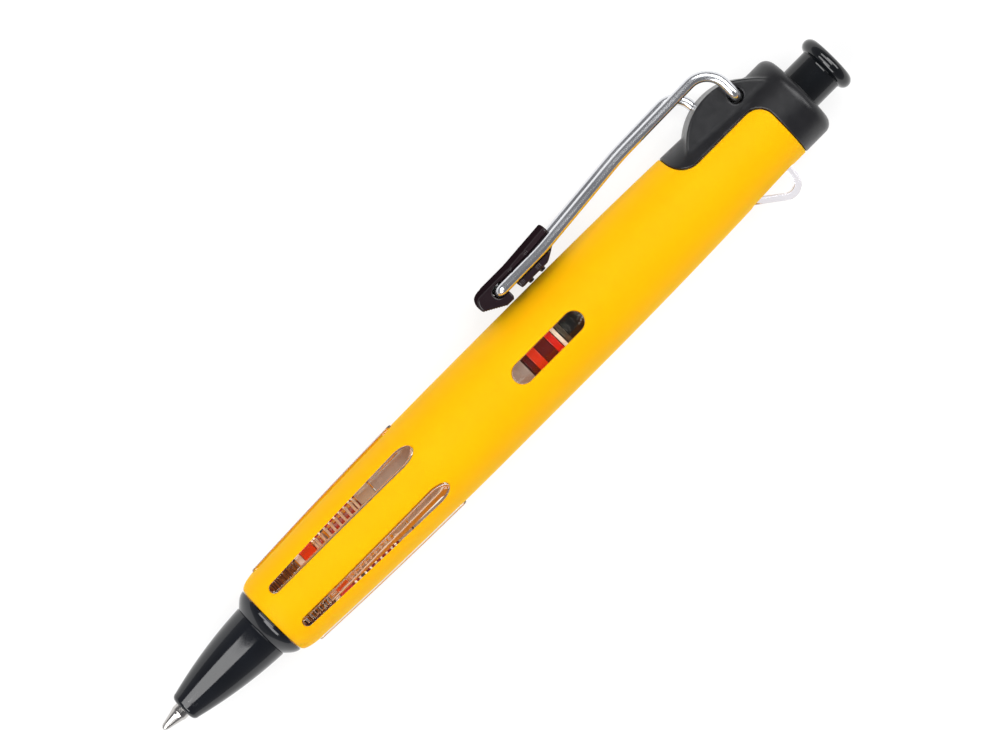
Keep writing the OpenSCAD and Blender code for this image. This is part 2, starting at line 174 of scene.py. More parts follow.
def foot_plastic():
    """Dark plum plastic of the clip's foot: polished on its flat sides, matt on its crown and underside."""
    made = moulded("plum", (0.016, 0.0085, 0.011), 0.14, 0.2, grain=0.002)
    gloss = made.node_tree.nodes["Principled BSDF"].inputs["Specular IOR Level"]
    facing = add_node(made, "SeparateXYZ")
    link(made, add_node(made, "TexCoord").outputs["Normal"], facing.inputs[0])
    steep = add_node(made, "Math")
    steep.operation = "ABSOLUTE"
    link(made, facing.outputs["Z"], steep.inputs[0])
    link(made, remap(made, steep.outputs[0], 0.0, 0.32, 0.35, 0.75), gloss)
    return made


def soft_touch():
    """Yellow elastomer: saturated, matt, with a very fine skin and a soft sheen at grazing angles."""
    made, shader = new_material("yellow_elastomer", (0.82, 0.408, 0.001))
    set_inputs(shader, Specular_IOR_Level=0.05, Subsurface_Weight=0.3, Subsurface_Scale=0.0015)
    set_inputs(shader, Sheen_Weight=0.5, Sheen_Roughness=0.5, Sheen_Tint=(1, 0.62, 0.03, 1))
    vary_color(made, shader, 90, (0.81, 0.401, 0.0009), (0.83, 0.415, 0.0011))
    vary_roughness(made, shader, 700, 0.42, 0.52)
    add_bump(made, shader, [(11000, 0.003, EVEN), (1800, 0.006, EVEN), (260, 0.012, EVEN)])
    return made


def sleeve_inside_painted_glow():
    """Inner skin of the sleeve, with a painted orange glow (emission) that stands in for the daylight
    soaking through the soft wall.
    """
    made, shader = new_material("sleeve_inside_painted_glow", (0.82, 0.41, 0.01))
    # The emission is a painted glow, not a lamp: it stands in for light reaching the inside through the
    # wall and the slots.
    set_inputs(shader, Emission_Color=(0.6, 0.22, 0.015, 1), Emission_Strength=0.5, Specular_IOR_Level=0.1)
    vary_roughness(made, shader, 700, 0.5, 0.6)
    add_bump(made, shader, [(1800, 0.006, EVEN)])
    return made


def let_light_in(made, tint):
    """Lets lamps and the light of nearby surfaces reach what is behind a clear wall."""
    path = add_node(made, "LightPath")
    open_side = add_node(made, "BsdfTransparent", Color=(*tint, 1))
    front = made.node_tree.nodes["Principled BSDF"].outputs["BSDF"]
    for ray in ("Is Diffuse Ray", "Is Shadow Ray"):
        mix = add_node(made, "MixShader")
        for k, output in enumerate((path.outputs[ray], front, open_side.outputs["BSDF"])):
            link(made, output, mix.inputs[k])
        front = mix.outputs["Shader"]
    link(made, front, made.node_tree.nodes["Material Output"].inputs["Surface"])


def clear_plastic(name, tint, low, high):
    """Clear polished plastic with faint flow lines."""
    made, shader = new_material(name, tint)
    set_inputs(shader, Transmission_Weight=1.0, IOR=1.49)
    vary_roughness(made, shader, 1500, low, high)
    add_bump(made, shader, [(350, 0.006, (0.25, 1, 1)), (2500, 0.0008, EVEN)])
    let_light_in(made, tint)
    return made


def drawn_steel(name, color, low, high, stretch, metal=1.0):
    """Steel with fine lines drawn out the way stretch says."""
    made, shader = new_material(name, color, Metallic=metal)
    vary_color(made, shader, 700, [c * 0.95 for c in color], color, stretch)
    vary_roughness(made, shader, 1800, low, high, stretch)
    add_bump(made, shader, [(7000, 0.0002, stretch), (700, 0.0004, stretch)])
    return made


yellow = soft_touch()
# Inner skin of the sleeve, with a painted orange glow.
painted_glow_lining = sleeve_inside_painted_glow()
clear = clear_plastic("clear_barrel", (0.98, 0.94, 0.86), 0.0, 0.035)
clear_loop = clear_plastic("clear_loop", (0.83, 0.82, 0.87), 0.02, 0.08)
cap_black = moulded("cap_black", (0.0095, 0.0095, 0.011), 0.3, 0.38, grain=0.009, Specular_IOR_Level=0.4)
gloss_black = moulded(
    "gloss_black", (0.005, 0.006, 0.0085), 0.07, 0.12, grain=0.0012, Specular_IOR_Level=0.55,
)
knob_black = moulded(
    "knob_black", (0.004, 0.0048, 0.006), 0.08, 0.13, grain=0.0012, Specular_IOR_Level=0.55,
)
plum = foot_plastic()
# Uneven brown: painted amber light on the nose's black threaded shank.
shank_painted_amber_light = moulded("shank_painted_amber_light", (0.17, 0.055, 0.012), 0.12, 0.2, grain=0.003, tone=0.3)
red = moulded("red", (0.55, 0.012, 0.005), 0.1, 0.16, grain=0.002)
red_orange = moulded("red_orange", (0.62, 0.032, 0.003), 0.1, 0.16, grain=0.002)
maroon = moulded("maroon", (0.11, 0.004, 0.003), 0.1, 0.16, grain=0.002)
dark_red = moulded("dark_red", (0.5, 0.015, 0.025), 0.12, 0.2, grain=0.002)
grey = moulded("grey", (0.34, 0.33, 0.37), 0.2, 0.3, grain=0.002, tone=0.06)
mid_grey = moulded("mid_grey", (0.4, 0.36, 0.34), 0.2, 0.3, grain=0.002, tone=0.06)
olive = moulded("olive", (0.04, 0.036, 0.026), 0.3, 0.42, grain=0.003)
white = moulded("white", (0.76, 0.77, 0.8), 0.3, 0.42, grain=0.003, tone=0.04)
ivory = moulded("ivory", (0.62, 0.56, 0.44), 0.3, 0.42, grain=0.003, tone=0.05)
rubber = moulded("rubber", (0.012, 0.012, 0.012), 0.4, 0.55, grain=0.004)
wire_steel = drawn_steel("wire_steel", (0.8, 0.81, 0.84), 0.2, 0.27, ALONG)
spring_steel = drawn_steel("spring_steel", (0.84, 0.82, 0.8), 0.3, 0.4, EVEN, metal=0.5)
turned_steel = drawn_steel("turned_steel", (0.55, 0.53, 0.51), 0.14, 0.22, ROUND)
ink_black = moulded("ink_black", (0.004, 0.004, 0.008), 0.08, 0.14, grain=0.001)
grease = moulded("grease", (0.55, 0.44, 0.22), 0.2, 0.3, grain=0.004)


def tube_plastic():
    """Milky extruded plastic of the ink tube."""
    made, shader = new_material("tube_plastic", (0.8, 0.81, 0.82))
    set_inputs(shader, Transmission_Weight=0.75, IOR=1.5)
    vary_roughness(made, shader, 1200, 0.15, 0.28)
    add_bump(made, shader, [(2400, 0.002, ALONG)])
    return made


milky = tube_plastic()

# ---------------------------------------------------------------- mesh helpers


def add_object(name, data):
    made = bpy.data.objects.new(name, data)
    bpy.context.scene.collection.objects.link(made)
    return made


def finish_mesh(name, points, faces, material, body, nodes, slot, sharp=38, inner=None, inner_faces=()):
    """Makes a closed smooth mesh, gives it its material and body, and hides the CAD nodes that it stands in
    for.

    The faces in inner_faces take a second material, inner.
    """
    mesh = bpy.data.meshes.new(name)
    mesh.from_pydata([tuple(p) for p in points], [], faces)
    for i in inner_faces:
        mesh.polygons[i].material_index = 1
    work = bmesh.new()
    work.from_mesh(mesh)
    bmesh.ops.remove_doubles(work, verts=work.verts, dist=WELD)
    bmesh.ops.recalc_face_normals(work, faces=work.faces)
    work.to_mesh(mesh)
    work.free()
    mesh.shade_smooth()
    mesh.set_sharp_from_angle(angle=math.radians(sharp))
    mesh.materials.append(material)
    if inner:
        mesh.materials.append(inner)
    made = add_object(name, mesh)
    if body:
        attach(made, body)
    if nodes:
        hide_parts(*nodes)
    return made


def arc(centre_x, centre_y, radius, start, end, steps, stretch=1):
    """Points of an arc from start to end in degrees, drawn out along x by stretch."""
    turns = [math.radians(start + (end - start) * k / steps) for k in range(steps + 1)]
    return [(centre_x + stretch * radius * math.cos(t), centre_y + radius * math.sin(t)) for t in turns]


def between(start, end, steps):
    """The points inside a straight line that cut it into equal steps."""
    return [tuple(a + (b - a) * k / steps for a, b in zip(start, end)) for k in range(1, steps)]


def limit(value):
    """A value held between 0 and 1."""
    return min(max(value, 0), 1)


def fillet_arc(here, before, after, reach, steps=None):
    """Points of the arc that rounds the corner here, from reach before it to reach after it."""
    half = before.angle(after) / 2
    to_centre = (before.normalized() + after.normalized()).normalized()
    centre = here + to_centre * (reach * math.tan(half) / math.sin(half))
    start = here + before.normalized() * reach - centre
    end = here + after.normalized() * reach - centre
    sweep = start.angle(end)
    steps = steps or max(4, round(math.degrees(sweep) / 6))
    points = []
    for k in range(steps + 1):
        u = k / steps
        spoke = math.sin((1 - u) * sweep) * start + math.sin(u * sweep) * end
        points.append(centre + spoke / math.sin(sweep))
    return points


def rounded_outline(corners):
    """Outline of (station, radius, fillet) corners, with its fillets drawn. Ends on the axis stay sharp."""
    count = len(corners)
    closed = corners[0][1] > 0
    outline = []
    for i, (x, r, fillet) in enumerate(corners):
        here = Vector((x, r))
        if fillet <= 0 or (not closed and i in (0, count - 1)):
            outline.append(here)
            continue
        before = Vector(corners[i - 1][:2]) - here
        after = Vector(corners[(i + 1) % count][:2]) - here
        room = min(before.length, after.length) * 0.48
        reach = min(fillet / math.tan(before.angle(after) / 2), room)
        outline += fillet_arc(here, before, after, reach, 5)
    return outline


def grid_faces(base, rows, count, closed=True):
    """Faces between rows of count points each, which follow one another from point number base."""
    faces = []
    for row in range(base, base + (rows - 1) * count, count):
        for k in range(count if closed else count - 1):
            n = (k + 1) % count
            faces.append([row + k, row + n, row + count + n, row + count + k])
    return faces


def revolve(outline, sides):
    """Points and faces of an outline of (station, radius) turned about the pen's axis."""
    closed = outline[0][1] > 1e-9
    points, rings, faces = [], [], []
    for x, r in outline:
        if r < 1e-9:
            rings.append([len(points)] * sides)
            points.append(polar(x, 0, 0))
        else:
            rings.append(list(range(len(points), len(points) + sides)))
            points.extend(polar(x, r, 360 * k / sides) for k in range(sides))
    pairs = list(zip(rings, rings[1:])) + ([(rings[-1], rings[0])] if closed else [])
    for a, b in pairs:
        for k in range(sides):
            n = (k + 1) % sides
            corner = [a[k], a[n], b[n], b[k]]
            face = [v for i, v in enumerate(corner) if v != corner[i - 1]]
            if len(face) > 2:
                faces.append(face)
    return points, faces


def turned(name, corners, material, body, nodes, slot, sides=96):
    """A turned or moulded round piece."""
    finish_mesh(name, *revolve(rounded_outline(corners), sides), material, body, nodes, slot)


def swept(name, path, radius, material, body, nodes, slot, sides, domes):
    """A round bar along a path of points in the pen's own units, with domed ends."""
    line = [Vector(p) for p in path]
    spans = [(b - a).normalized() for a, b in zip(line, line[1:])]
    tangents = [spans[0]] + [(a + b).normalized() for a, b in zip(spans, spans[1:])] + [spans[-1]]
    across = tangents[0].orthogonal().normalized()
    rings = []
    for point, tangent in zip(line, tangents):
        across = (across - tangent * across.dot(tangent)).normalized()
        rings.append((point, across, tangent.cross(across), 1.0))
    poles = []
    for (point, u, v, _), outward in ((rings[0], -tangents[0]), (rings[-1], tangents[-1])):
        turns = [math.pi / 2 * k / domes for k in range(1, domes)]
        dome = [(point + outward * radius * math.sin(t), u, v, math.cos(t)) for t in turns]
        rings = rings + dome if poles else dome[::-1] + rings
        poles.append(point + outward * radius)
    points = []
    for centre, u, v, share in rings:
        for k in range(sides):
            turn = 2 * math.pi * k / sides
            points.append(place(*(centre + radius * share * (math.cos(turn) * u + math.sin(turn) * v))))
    faces = grid_faces(0, len(rings), sides)
    for row, pole in zip((0, (len(rings) - 1) * sides), poles):
        faces.extend([row + k, row + (k + 1) % sides, len(points)] for k in range(sides))
        points.append(place(*pole))
    return finish_mesh(name, points, faces, material, body, nodes, slot)


def spring_path(x0, x1, radius, wire, turns):
    """Centre line of a compression spring whose first and last turns lie closed."""
    dead, steps = 1.1, 40
    count = int(turns * steps)
    closed = wire * 2 * 1.04
    open_pitch = (x1 - x0 - 2 * wire - 2 * dead * closed) / (turns - 2 * dead)
    line = []
    x = x0 + wire
    for k in range(count + 1):
        t = turns * k / count
        turn = 2 * math.pi * t
        line.append((x, radius * math.sin(turn), radius * math.cos(turn)))
        share = limit((min(t, turns - t) - dead + 0.15) / 0.3)
        x += (closed + (open_pitch - closed) * share) / steps
    stretch = (x1 - x0 - 2 * wire) / (line[-1][0] - line[0][0])
    return [(x0 + wire + (p[0] - x0 - wire) * stretch, p[1], p[2]) for p in line]


# ---------------------------------------------------------------- body outline

BODY_R, CAP_R = 7.12, 6.37
FULL_X0, FULL_X1 = 60, 75
SLEEVE_X0, SLEEVE_EDGE, EDGE_X1 = 20.6, 5.45, 24
SLEEVE_WALL, LEAST_WALL_R = 1.25, 4.95
BORE_R, REAR_BORE_R, BORE_STEP = 3.95, 4.45, 85.0
THREAD_PITCH = 0.8
CLEARANCE = 0.05


def outer_radius(x):
    """Radius of the sleeve and the cap: thickest between FULL_X0 and FULL_X1, with a round front edge."""
    if x > FULL_X1:
        return max(CAP_R, BODY_R - 0.85 * ((x - FULL_X1) / 39) ** 2)
    full = BODY_R - 0.87 * (max(FULL_X0 - max(x, EDGE_X1), 0) / 37) ** 2
    rise = limit((x - SLEEVE_X0) / (EDGE_X1 - SLEEVE_X0)) ** 0.62
    return SLEEVE_EDGE + (full - SLEEVE_EDGE) * math.sin(math.pi / 2 * rise)


def wall_radius(x):
    """Radius of the clear barrel under the sleeve."""
    return max(LEAST_WALL_R, outer_radius(x) - SLEEVE_WALL)


# ---------------------------------------------------------------- curved sheets with holes

SLOT_X0, SLOT_X1 = 23.2, 50.0
SLOT_FRONT, SLOT_REAR, SLOT_STRETCH = 0.82, 1.3, 1.9
WINDOW_X0, WINDOW_X1, WINDOW_W = 65.7, 78.2, 1.55
LOOP_X0, LOOP_X1, LOOP_W, LOOP_CORNER = 104.3, 112.1, 1.4, 0.45
TONGUE_X0, TONGUE_LOW, TONGUE_CORNER = 100.1, 3.2, 3.0
CAP_RING_X0, CAP_RING_CORNER = 114.65, 2.5
SEAM_ANGLE = 300


def slot_loop(grow):
    """Outline of a grip slot as (station, half width), narrow in front and wide behind."""
    front, rear = SLOT_FRONT + grow, SLOT_REAR + grow
    x_front, x_rear = SLOT_X0 + SLOT_FRONT, SLOT_X1 - SLOT_STRETCH * SLOT_REAR
    loop = arc(x_front, 0, front, 90, 270, 12) + between((x_front, -front), (x_rear, -rear), 16)
    loop += arc(x_rear, 0, rear, -90, 90, 24, SLOT_STRETCH)
    return loop + between((x_rear, rear), (x_front, front), 16)


def window_loop(grow):
    """Outline of an oval side window."""
    w = WINDOW_W + grow
    x_front, x_rear = WINDOW_X0 + WINDOW_W, WINDOW_X1 - WINDOW_W
    loop = arc(x_front, 0, w, 90, 270, 24) + between((x_front, -w), (x_rear, -w), 8)
    return loop + arc(x_rear, 0, w, -90, 90, 24) + between((x_rear, w), (x_front, w), 8)


def lanyard_gap(grow):
    """Outline of the sleeve's cut round the lanyard loop, with round corners."""
    x_front, x_rear, side = LOOP_X0 + LOOP_CORNER, LOOP_X1 - LOOP_CORNER, LOOP_W - LOOP_CORNER
    centres = ((x_front, side), (x_front, -side), (x_rear, -side), (x_rear, side))
    loop = []
    for (x, y), start in zip(centres, (90, 180, 270, 0)):
        loop += arc(x, y, LOOP_CORNER + grow, start, start + 90, 6)
    return loop


def saddle(gap):
    """Rear edge of the sleeve as (station, angle), round the tongue of the rear cap."""
    x_front, x_ring, low = TONGUE_X0 - gap, CAP_RING_X0 - gap, TONGUE_LOW - gap
    convex, concave = TONGUE_CORNER + gap, CAP_RING_CORNER - gap
    flat = arc(x_front + convex, low + convex, convex, 180, 270, 10)
    flat += between((x_front + convex, low), (x_ring - concave, low), 8)
    flat += arc(x_ring - concave, low - concave, concave, 90, 0, 10)
    wrapped = [(x, 90 + math.degrees(math.acos(y / outer_radius(x)))) for x, y in flat]
    half = [(x_front, 90 + (wrapped[0][1] - 90) * k / 6) for k in range(6)] + wrapped
    start = half[-1][1]
    half.extend((x_ring, start + (SEAM_ANGLE - start) * k / 26) for k in range(1, 27))
    mirrored = [(x, 180 - a) for x, a in half if 180 - a > SEAM_ANGLE - 359.9]
    mirrored.append((x_ring, SEAM_ANGLE - 360))
    return mirrored[::-1] + half[1:]


def front_ring(x):
    """A full turn at one station as (station, angle), from seam to seam."""
    return [(x, SEAM_ANGLE - 360 + 2.5 * k) for k in range(145)]


def edge_outline(x_front, rear):
    """Outline of a sheet that wraps round the pen, cut open along a line under the loop side."""
    start, end = SEAM_ANGLE - 360, SEAM_ANGLE
    seam = between((x_front, end), (rear[0][0], end), 64)
    return front_ring(x_front) + seam + rear[::-1] + [(x, start) for x, _ in seam[::-1]]


def hole_ring(loop, centre, radius_of):
    """A hole's outline as (station, angle) on a surface of the given radius."""
    return [(x, centre + math.degrees(math.asin(w / radius_of(x)))) for x, w in loop]


def inside(point, loop):
    """Whether a point lies inside a closed outline."""
    x, y = point
    hit = False
    for (x0, y0), (x1, y1) in zip(loop, loop[1:] + loop[:1]):
        if (y0 > y) != (y1 > y) and x < (x1 - x0) * (y - y0) / (y1 - y0) + x0:
            hit = not hit
    return hit


def distance_to(points, loop):
    """Distance of many points from a closed outline."""
    a = np.array(loop)
    b = np.roll(a, -1, axis=0)
    best = np.full(len(points), 1e9)
    for p, q in zip(a, b):
        d = q - p
        t = np.clip(((points - p) @ d) / max(d @ d, 1e-12), 0, 1)
        best = np.minimum(best, np.linalg.norm(points - p - t[:, None] * d, axis=1))
    return best


def sheet_faces(outline, holes, stations, step, radius_of):
    """Triangles of a curved sheet between an outline and its holes, all as (station, angle).

    They are laid out flat, with scale mm to a degree, and grid points keep a margin from every outline.
    """
    scale, margin = 0.11, 0.22
    flat_outline = [(x, a * scale) for x, a in outline]
    flat_holes = [[(x, a * scale) for x, a in h] for h in holes]
    low = min(a for x, a in outline)
    high = max(a for x, a in outline)
    count = max(1, round((high - low) / step))
    heights = [(low + (high - low) * k / count) * scale for k in range(1, count)]
    grid = np.array([(x, y) for x in stations for y in heights])

    def covered(point):
        return inside(point, flat_outline) and not any(inside(point, hole) for hole in flat_holes)

    grid = grid[np.array([covered(p) for p in grid], bool)]
    points, edges = [], []
    for loop in [flat_outline, *flat_holes]:
        grid = grid[distance_to(grid, loop) > margin]
        first, size = len(points), len(loop)
        edges.extend((first + i, first + (i + 1) % size) for i in range(size))
        points.extend(Vector(p) for p in loop)
    points.extend(Vector(p) for p in grid)
    made, _, faces, _, _, _ = delaunay_2d_cdt(points, edges, [], 0, 1e-7)
    kept = [list(f) for f in faces if covered(sum((made[i] for i in f), Vector((0, 0))) / len(f))]
    return [polar(p.x, radius_of(p.x), p.y / scale) for p in made], kept


class Sheets:
    """Gathers the sheets and edge strips of one closed piece."""

    def __init__(self):
        self.points = []
        self.faces = []

    def add(self, points, faces):
        base = len(self.points)
        self.points.extend(points)
        self.faces.extend([[base + i for i in f] for f in faces])

    def strip(self, rings, closed=True):
        """Joins rings of equal length, each a list of points."""
        self.faces += grid_faces(len(self.points), len(rings), len(rings[0]), closed)
        for ring in rings:
            self.points.extend(ring)


def edge_levels(fillet):
    """(grow, drop) of a round edge, from the surface to the wall."""
    turns = [math.pi / 8 * k for k in range(5)]
    return [(fillet * (1 - math.sin(t)), fillet * (1 - math.cos(t))) for t in turns]


SLOT_ANGLES = [30, 90, 150, 210, 270, -30]
WINDOW_ANGLES = [0, 180]
front_stations = [20.62, 20.7, 20.85, 21.05, 21.3, 21.6, 21.95, 22.35, 22.8, 23.3, 23.9]
long_stations = [24.6 + 1.5 * k for k in range(63)]
sleeve_holes = [(slot_loop, a) for a in SLOT_ANGLES] + [(window_loop, a) for a in WINDOW_ANGLES]
sleeve_holes.append((lanyard_gap, 270))


def make_sleeve():
    """The soft sleeve: outer skin, inner skin, and a small round edge at every opening."""
    fillet, rear_gap = 0.16, 0.08
    piece = Sheets()

    def inner(x):
        return wall_radius(x) + CLEARANCE

    def edge_rings(outline_of):
        """Rings from the outer skin over a round edge to the inner skin."""
        rings = []
        for grow, drop in edge_levels(fillet):
            rings.append([polar(x, outer_radius(x) - drop, t) for x, t in outline_of(grow, outer_radius)])
        return rings + [[polar(x, inner(x), t) for x, t in outline_of(0, inner)]]

    outline = edge_outline(SLEEVE_X0, saddle(rear_gap + fillet))
    holes = [hole_ring(loop(fillet), a, outer_radius) for loop, a in sleeve_holes]
    stations = [x for x in front_stations + long_stations if x < 114]
    piece.add(*sheet_faces(outline, holes, stations, 4, outer_radius))
    inner_outline = edge_outline(SLEEVE_X0, saddle(rear_gap))
    inner_holes = [hole_ring(loop(0), a, inner) for loop, a in sleeve_holes]
    first_inner = len(piece.faces)
    piece.add(*sheet_faces(inner_outline, inner_holes, stations[::2], 6, inner))
    inner_faces = range(first_inner, len(piece.faces))
    for loop, a in sleeve_holes:
        piece.strip(edge_rings(lambda grow, radius_of: hole_ring(loop(grow), a, radius_of)))
    piece.strip(edge_rings(lambda grow, radius_of: saddle(rear_gap + grow)), closed=False)
    front = front_ring(SLEEVE_X0)
    piece.strip([[polar(x, radius(x), t) for x, t in front] for radius in (outer_radius, inner)], False)
    finish_mesh(
        "sleeve", piece.points, piece.faces, yellow, "barrel", ["grip_sleeve"], "yellow_elastomer", 50,
        # The inner faces take the material with the painted glow.
        painted_glow_lining, inner_faces,
    )


def ridge(x, turns):
    """Height, from 0 to 1, of a screw thread's flat-topped ridge."""
    half_base, steepness = 0.32, 1.5
    phase = (x / THREAD_PITCH - turns) % 1
    return limit((1 - abs(phase - 0.5) / half_base) * steepness)


def bore_radius(x, turns):
    """Bore of the barrel, with a helical groove for the nose's thread at its front."""
    if x > BORE_STEP:
        return REAR_BORE_R
    fade = limit((x - 22.2) / 0.6) * limit((28.4 - x) / 0.4)
    return BORE_R + 0.11 * fade * ridge(x, turns - 0.5)


def make_barrel():
    """The clear barrel: ribs that fill the slots, pads that fill the windows, and its bore."""
    x0, x1 = 20.75, 117.0
    piece = Sheets()
    raised = [(slot_loop, a, 0.25, 0.22) for a in SLOT_ANGLES]
    raised += [(window_loop, a, 0.06, 0.14) for a in WINDOW_ANGLES]
    outline = edge_outline(x0, front_ring(x1))
    holes = [hole_ring(loop(-CLEARANCE), a, wall_radius) for loop, a, _, _ in raised]
    stations = [x for x in front_stations + long_stations if x0 + 0.3 < x < x1 - 0.3]
    piece.add(*sheet_faces(outline, holes, stations, 5, wall_radius))
    for loop, a, proud, fillet in raised:

        def top(x):
            return outer_radius(x) + proud

        rings = [[polar(x, wall_radius(x), t) for x, t in hole_ring(loop(-CLEARANCE), a, wall_radius)]]
        # The same round edge read the other way: up the wall and over onto the crest.
        for drop, shrink in edge_levels(fillet):
            ring = hole_ring(loop(-CLEARANCE - shrink), a, top)
            rings.append([polar(x, top(x) - drop, t) for x, t in ring])
        piece.strip(rings)
        crest = hole_ring(loop(-CLEARANCE - fillet), a, top)
        low, high = min(p[0] for p in crest), max(p[0] for p in crest)
        piece.add(*sheet_faces(crest, [], np.arange(low + 0.4, high, 0.8), 3, top))
    bore = [x0, *np.arange(22.0, 28.6, 0.05), *np.arange(30, BORE_STEP - 1, 3), BORE_STEP]
    bore += [BORE_STEP + 1e-4, *np.arange(BORE_STEP + 3, x1, 3), x1]
    rings = [[polar(x0, wall_radius(x0), t) for _, t in front_ring(x0)]]
    for x in bore:
        rings.append([polar(x, bore_radius(x, t / 360), t) for _, t in front_ring(x)])
    rings.append([polar(x1, wall_radius(x1), t) for _, t in front_ring(x1)])
    piece.strip(rings, False)
    finish_mesh(
        "clear_barrel", piece.points, piece.faces, clear, "barrel", ["inner_barrel"], "clear_plastic", 50,
    )


# ---------------------------------------------------------------- solids from distance fields


def surface_net(field, low, high, step):
    """Points and faces of the surface where a distance field is zero. Points are pulled onto it."""
    axes = [np.arange(low[i] - 1.5 * step, high[i] + 2.5 * step, step) for i in range(3)]
    grid = np.meshgrid(*axes, indexing="ij")
    value = field(*grid)
    solid = value < 0
    cells = tuple(n - 1 for n in solid.shape)
    corners = [(i, j, k) for i in (0, 1) for j in (0, 1) for k in (0, 1)]

    def corner(array, c):
        return array[c[0]:c[0] + cells[0], c[1]:c[1] + cells[1], c[2]:c[2] + cells[2]]

    filled = sum(corner(solid, c).astype(np.int8) for c in corners)
    active = (filled > 0) & (filled < 8)
    total = np.zeros((*cells, 3))
    hits = np.zeros(cells)
    for a in corners:
        for axis in range(3):
            if a[axis]:
                continue
            b = tuple(1 if i == axis else a[i] for i in range(3))
            va, vb = corner(value, a), corner(value, b)
            crossing = (va < 0) != (vb < 0)
            share = np.where(crossing, va / np.where(crossing, va - vb, 1), 0)
            for i in range(3):
                total[..., i] += np.where(crossing, a[i] + (share if i == axis else 0), 0)
            hits += crossing
    index = np.full(cells, -1)
    index[active] = np.arange(active.sum())
    where = np.argwhere(active)
    points = (where + total[active] / hits[active][:, None]) * step + np.array([a[0] for a in axes])
    for _ in range(4):
        here = field(*points.T)
        slope = np.zeros(points.shape)
        for i, shift in enumerate(np.eye(3) * 1e-3):
            slope[:, i] = (field(*(points + shift).T) - field(*(points - shift).T)) / 2e-3
        size = np.maximum((slope**2).sum(1), 0.2)
        move = slope * (here / size)[:, None]
        points = points - np.clip(move, -step / 2, step / 2)
    faces = []
    for axis in range(3):
        u, v = (axis + 1) % 3, (axis + 2) % 3
        ahead = np.take(solid, range(1, solid.shape[axis]), axis)
        behind = np.take(solid, range(solid.shape[axis] - 1), axis)
        for spot in np.argwhere(ahead != behind):
            if spot[u] == 0 or spot[v] == 0 or spot[u] >= cells[u] or spot[v] >= cells[v]:
                continue
            ring = []
            for du, dv in ((-1, -1), (0, -1), (0, 0), (-1, 0)):
                cell = spot.copy()
                cell[u] += du
                cell[v] += dv
                ring.append(int(index[tuple(cell)]))
            faces.append(ring if behind[tuple(spot)] else ring[::-1])
    return points, faces


def meet(a, b, radius):
    """Intersection of two fields with a round edge."""
    u, v = np.maximum(a + radius, 0), np.maximum(b + radius, 0)
    return np.minimum(np.maximum(a, b), -radius) + np.sqrt(u * u + v * v)


def join(a, b, radius):
    """Union of two fields with a round inner corner."""
    u, v = np.maximum(radius - a, 0), np.maximum(radius - b, 0)
    return np.maximum(np.minimum(a, b), radius) - np.sqrt(u * u + v * v)


def slab(x, low, high):
    return np.maximum(low - x, x - high)


def polygon_field(x, y, corners):
    """Signed distance from a closed outline of straight edges."""
    best = np.full(np.shape(x), 1e9)
    sign = np.ones(np.shape(x))
    for (ax, ay), (bx, by) in zip(corners, corners[-1:] + corners[:-1]):
        ex, ey = bx - ax, by - ay
        wx, wy = x - ax, y - ay
        t = np.clip((wx * ex + wy * ey) / (ex * ex + ey * ey), 0, 1)
        best = np.minimum(best, (wx - ex * t) ** 2 + (wy - ey * t) ** 2)
        above, below, left = y >= ay, y < by, ex * wy > ey * wx
        flip = (above & below & left) | (~above & ~below & ~left)
        sign = np.where(flip, -sign, sign)
    return sign * np.sqrt(best)


def carved(name, field, low, high, step, material, body, nodes, slot):
    """A piece made from a distance field in the pen's own units."""
    points, faces = surface_net(field, low, high, step)
    finish_mesh(name, [place(*p) for p in points], faces, material, body, nodes, slot, 60)


outer_table_x = np.linspace(15, 125, 1101)
outer_table = np.array([outer_radius(x) for x in outer_table_x])
CLIP_HOLES = ((113.0, 1), (108.4, -1))
CLIP_HOLE_Y, CLIP_END_X = 5.8, 72.6


def skin_radius(x):
    """outer_radius for an array of stations."""
    return np.interp(x, outer_table_x, outer_table)


def seat_radius(x):
    """wall_radius for an array of stations."""
    return np.maximum(LEAST_WALL_R, skin_radius(x) - SLEEVE_WALL)


def cap_field(x, y, z):
    """The rear cap: ring, tongue and clip block, less the barrel's seat, the knob's hole and the wire's."""
    radius = np.sqrt(y * y + z * z)
    shell = meet((radius - skin_radius(x)) * 0.99, x - 119.8, 1.5)
    tongue = meet(TONGUE_X0 - x, TONGUE_LOW - y, TONGUE_CORNER)
    body = meet(shell, join(tongue, CAP_RING_X0 - x, CAP_RING_CORNER), 0.22)
    round_back = np.sqrt((x - 110.1) ** 2 + (y + 0.25) ** 2) - 8.8
    slope = (x - 114.3) * 0.628 + (y - 7.62) * 0.778
    block = meet(meet(round_back, slope, 0.5), np.abs(z) - 4.7, 0.35)
    block = np.maximum(np.maximum(block, slab(x, 100.5, 117.8)), 3.6 - y)
    body = join(body, block, 0.35)
    seat = np.maximum(radius - seat_radius(x) - CLEARANCE, x - 117.2)
    knob_hole = radius - 3.3
    body = meet(body, -np.minimum(seat, knob_hole), 0.15)
    for station, way in CLIP_HOLES:
        bore = np.sqrt((x - station) ** 2 + (y - CLIP_HOLE_Y) ** 2) - 1.06
        body = meet(body, -np.maximum(bore, 3.3 - way * z), 0.12)
    return body


def foot_outline():
    """Side outline of the clip's foot: a round nose, a toothed slant, the underside and the rear end."""
    start, end = Vector((69.3, 9.17)), Vector((72.05, 7.61))
    notch, steps = Vector((0.049, 0.087)), 18
    outline = arc(71.0, 9.6, 1.85, 90, 186, 16)
    for k in range(steps + 1):
        outline.append(tuple(start.lerp(end, k / steps) + notch * (k % 2)))
    return outline + [
        (73.3, 7.58), (73.6, 7.85), (79.8, 7.85), (80.2, 8.0), (82.1, 9.1), (82.8, 10.4), (82.8, 13.0),
        (71.0, 13.0),
    ]


FOOT_SIDE = foot_outline()
FOOT_HALF_WIDTH = 5.35


